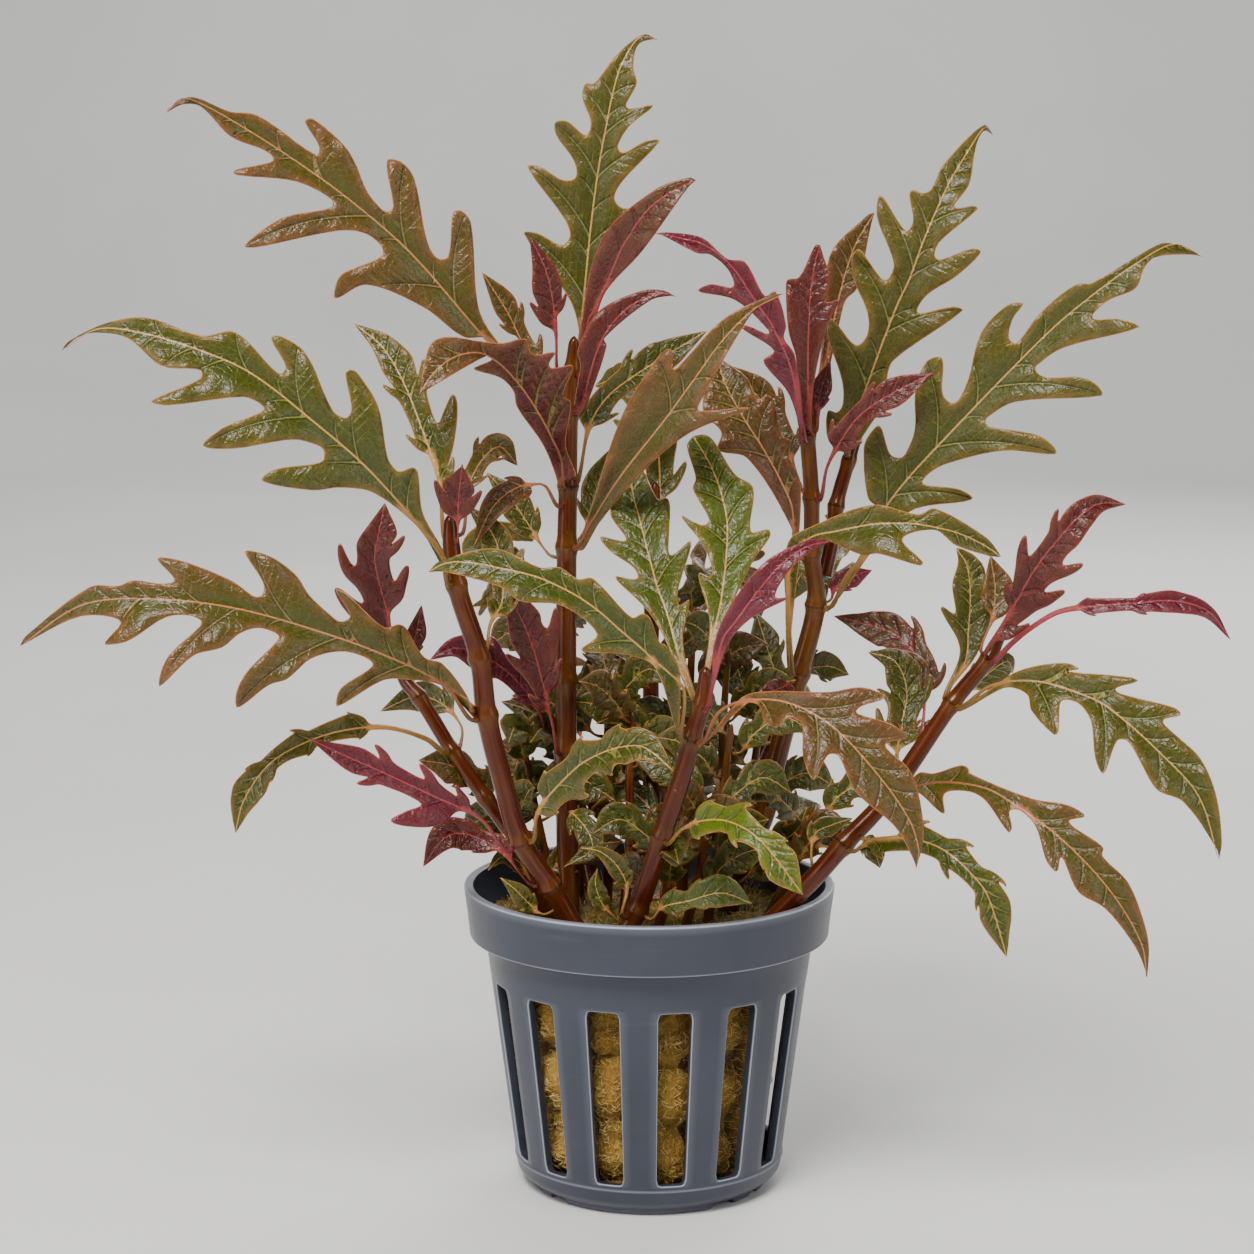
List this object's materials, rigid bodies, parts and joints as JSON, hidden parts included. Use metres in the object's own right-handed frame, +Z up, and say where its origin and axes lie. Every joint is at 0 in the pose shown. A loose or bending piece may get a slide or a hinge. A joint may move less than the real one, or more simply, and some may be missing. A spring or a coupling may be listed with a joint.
{
  "type": "potted aquarium plant",
  "caption": "Bunch of hygrophila pinnatifida with deeply lobed green, bronze and red leaves, growing from a rockwool plug in a slotted round net pot.",
  "frame": {"origin": "centre of the pot's flat underside", "axes": "+Z up out of the pot, -Y towards the side the picture is taken from, +X to the right in it"},
  "size_m": [0.166, 0.1145, 0.1695],
  "materials": {
    "pot_plastic": "slate blue-grey moulded plastic with a soft satin sheen",
    "rockwool": "damp ochre mineral wool with pale loose fibres",
    "stem": "smooth maroon-brown stems with amber streaks and pale node rings",
    "leaf_green": "waxy olive green leaf with pale veins and bronze edges",
    "leaf_bronze": "waxy bronze leaf with grey gloss and a peach midrib",
    "leaf_red": "waxy dark red young leaf",
    "leaf_magenta": "waxy magenta to purple-brown leaf"
  },
  "bodies": {
    "root": {"pot": "pot_plastic", "rockwool": "rockwool", "stem_left_front": "stem", "stem_left": "stem", "stem_centre": "stem", "stem_front": "stem", "stem_right_centre": "stem", "stem_right_centre_branch": "stem", "stem_right": "stem", "stem_back": "stem", "stem_back_left": "stem", "stem_back_right": "stem", "leaf_left_large": "leaf_green", "leaf_left_upright": "leaf_green", "leaf_left_arching": "leaf_bronze", "leaf_centre_low": "leaf_green", "leaf_left_magenta": "leaf_magenta", "leaf_left_low": "leaf_red", "leaf_left_apex": "leaf_red", "leaf_centre_left_dark": "leaf_bronze", "leaf_centre_red": "leaf_red", "leaf_centre_left_long": "leaf_magenta", "leaf_left_narrow": "leaf_green", "leaf_left_red": "leaf_red", "leaf_top_left": "leaf_bronze", "leaf_top_left_small": "leaf_bronze", "leaf_top": "leaf_green", "leaf_top_young_right": "leaf_red", "leaf_top_young_left": "leaf_red", "leaf_top_young_low": "leaf_red", "leaf_folded": "leaf_bronze", "leaf_centre_upright": "leaf_bronze", "leaf_centre_arching": "leaf_green", "leaf_front_red": "leaf_magenta", "leaf_front_green_left": "leaf_green", "leaf_front_green_right": "leaf_green", "leaf_right_low_bronze": "leaf_bronze", "leaf_front_bright": "leaf_green", "leaf_front_rim": "leaf_green", "leaf_right_red_upright": "leaf_red", "leaf_right_grey": "leaf_magenta", "leaf_right_brown_back": "leaf_bronze", "leaf_right_brown_left": "leaf_bronze", "leaf_right_tall": "leaf_green", "leaf_far_right": "leaf_green", "leaf_right_red_fold": "leaf_red", "leaf_right_arching": "leaf_green", "leaf_far_right_red": "leaf_red", "leaf_far_right_thin": "leaf_magenta", "leaf_right_green_upright": "leaf_green", "leaf_far_right_drooping": "leaf_green", "leaf_right_drooping": "leaf_bronze", "leaf_right_low": "leaf_green", "leaf_right_back_wide": "leaf_magenta", "leaf_back_high": "leaf_green", "leaf_back_middle": "leaf_bronze", "leaf_back_left_arching": "leaf_green", "leaf_back_left_low": "leaf_bronze", "leaf_back_right_arching": "leaf_green", "leaf_back_right_low": "leaf_green"}
  },
  "joints": []
}
